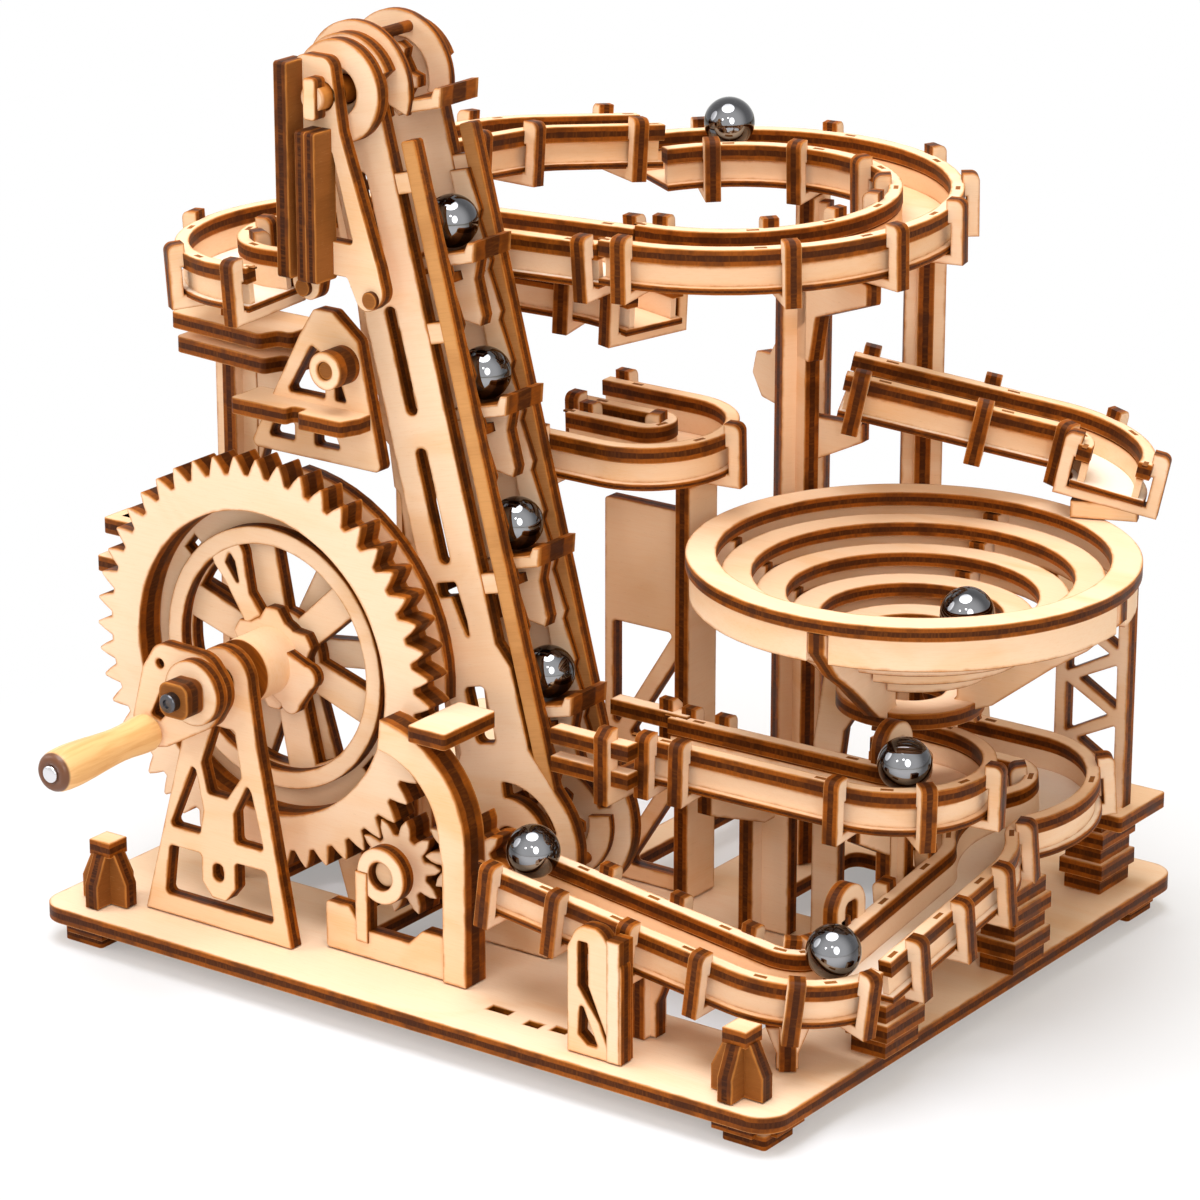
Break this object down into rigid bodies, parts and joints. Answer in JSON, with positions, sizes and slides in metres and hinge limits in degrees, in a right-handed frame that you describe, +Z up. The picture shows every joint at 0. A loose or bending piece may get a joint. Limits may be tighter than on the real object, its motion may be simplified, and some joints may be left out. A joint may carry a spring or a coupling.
{
  "type": "wooden marble run with a hand cranked lift",
  "caption": "Wooden marble run: a crank and spur gears drive a leaning chain lift, and rails with a stepped funnel bring steel balls back.",
  "frame": {"origin": "on the table under the feet, below the middle of the whole run", "axes": "+X to the right along the front edge, +Y to the back, +Z up; the crank is at the front left"},
  "size_m": [0.25, 0.2184, 0.2289],
  "materials": {
    "birch_ply": "laser cut birch ply, matt",
    "scorched_ply": "scorched edge ply, matt",
    "turned_beech": "turned and waxed",
    "polished_steel": "polished"
  },
  "bodies": {
    "frame": {"arch_stand": "birch_ply", "back_post_left": "birch_ply", "back_post_right": "birch_ply", "base_plate": "birch_ply", "chain_return_run": "birch_ply", "corner_ornament_left": "birch_ply", "corner_ornament_right": "birch_ply", "crank_stand": "birch_ply", "foot_back_left": "birch_ply", "foot_back_right": "birch_ply", "foot_front_left": "birch_ply", "foot_front_right": "birch_ply", "front_bracket": "birch_ply", "front_floor": "birch_ply", "front_rails": "birch_ply", "funnel_frame": "birch_ply", "funnel_ring_1": "birch_ply", "funnel_ring_2": "birch_ply", "funnel_ring_3": "birch_ply", "funnel_ring_4": "birch_ply", "funnel_ring_5": "birch_ply", "inner_track": "birch_ply", "lattice_tower": "birch_ply", "left_loop_track": "birch_ply", "lift_plate_back": "birch_ply", "lift_plate_front": "birch_ply", "long_floor": "birch_ply", "long_rails": "birch_ply", "loop_floor": "birch_ply", "loop_post_back": "birch_ply", "loop_post_front": "birch_ply", "loop_rails": "birch_ply", "main_post": "birch_ply", "rear_stand": "birch_ply", "side_track": "birch_ply", "start_track": "birch_ply", "tower_frame": "birch_ply", "u_turn_column": "birch_ply", "u_turn_track": "birch_ply", "upper_ring_floor": "birch_ply", "upper_ring_rails": "birch_ply", "upper_shaft_leg": "birch_ply"},
    "crank": {"crank_axle": "scorched_ply", "crank_arm": "birch_ply", "crank_gear_rim": "birch_ply", "crank_gear_wheel": "birch_ply"},
    "handle": {"crank_handle": "turned_beech"},
    "idler": {"idler_gear": "birch_ply"},
    "lower_shaft": {"lower_lift_shaft": "birch_ply"},
    "upper_shaft": {"upper_lift_shaft": "birch_ply"},
    "carrying_chain": {"chain_carrying_run": "birch_ply", "lift_ball_1": "polished_steel", "lift_ball_2": "polished_steel", "lift_ball_3": "polished_steel", "lift_ball_4": "polished_steel"},
    "ball_on_ring": {"ring_ball": "polished_steel"},
    "ball_in_funnel": {"funnel_ball": "polished_steel"},
    "ball_on_loop": {"loop_ball": "polished_steel"},
    "ball_in_corner": {"corner_ball": "polished_steel"},
    "ball_on_front": {"front_ball": "polished_steel"}
  },
  "joints": [
    {"name": "crank_spin", "type": "hinge", "parent": "frame", "child": "crank", "pos_m": [-0.066, -0.04713, 0.0745], "axis": [0, 1, 0], "continuous": true},
    {"name": "handle_spin", "type": "hinge", "parent": "crank", "child": "handle", "pos_m": [-0.08182, -0.07313, 0.06078], "axis": [0, 1, 0], "continuous": true},
    {"name": "idler_spin", "type": "hinge", "parent": "frame", "child": "idler", "pos_m": [-0.02418, -0.04713, 0.03225], "axis": [0, 1, 0], "continuous": true},
    {"name": "lower_shaft_spin", "type": "hinge", "parent": "frame", "child": "lower_shaft", "pos_m": [-0.0045, -0.02113, 0.038], "axis": [0, 1, 0], "continuous": true},
    {"name": "upper_shaft_spin", "type": "hinge", "parent": "frame", "child": "upper_shaft", "pos_m": [-0.05025, -0.02113, 0.21364], "axis": [0, 1, 0], "continuous": true},
    {"name": "chain_climb", "type": "slide", "parent": "frame", "child": "carrying_chain", "axis": [-0.2521, 0, 0.9677], "range_m": [0, 0.012]},
    {"name": "ring_roll", "type": "hinge", "parent": "frame", "child": "ball_on_ring", "pos_m": [0.0005, 0.05037, 0.181], "axis": [0, -0.03, 0.9996], "range_deg": [-160, 6]},
    {"name": "funnel_roll", "type": "hinge", "parent": "frame", "child": "ball_in_funnel", "pos_m": [0.072, 0.02087, 0.11], "axis": [0, 0, 1], "continuous": true},
    {"name": "loop_roll", "type": "hinge", "parent": "frame", "child": "ball_on_loop", "pos_m": [0.08, 0.00087, 0.068], "axis": [0.02, 0, 0.9998], "range_deg": [-35, 78]},
    {"name": "corner_roll", "type": "hinge", "parent": "frame", "child": "ball_in_corner", "pos_m": [0.07844, -0.03825, 0.03607], "axis": [0.124, 0, 0.9923], "range_deg": [-60, 12]},
    {"name": "front_roll", "type": "slide", "parent": "frame", "child": "ball_on_front", "axis": [0.9923, 0, -0.124], "range_m": [-0.002, 0.045]}
  ],
  "couplings": [
    {"joint": "idler_spin", "follows": "crank_spin", "ratio": -4.8},
    {"joint": "lower_shaft_spin", "follows": "crank_spin", "ratio": 4.8},
    {"joint": "upper_shaft_spin", "follows": "crank_spin", "ratio": 4.8}
  ]
}
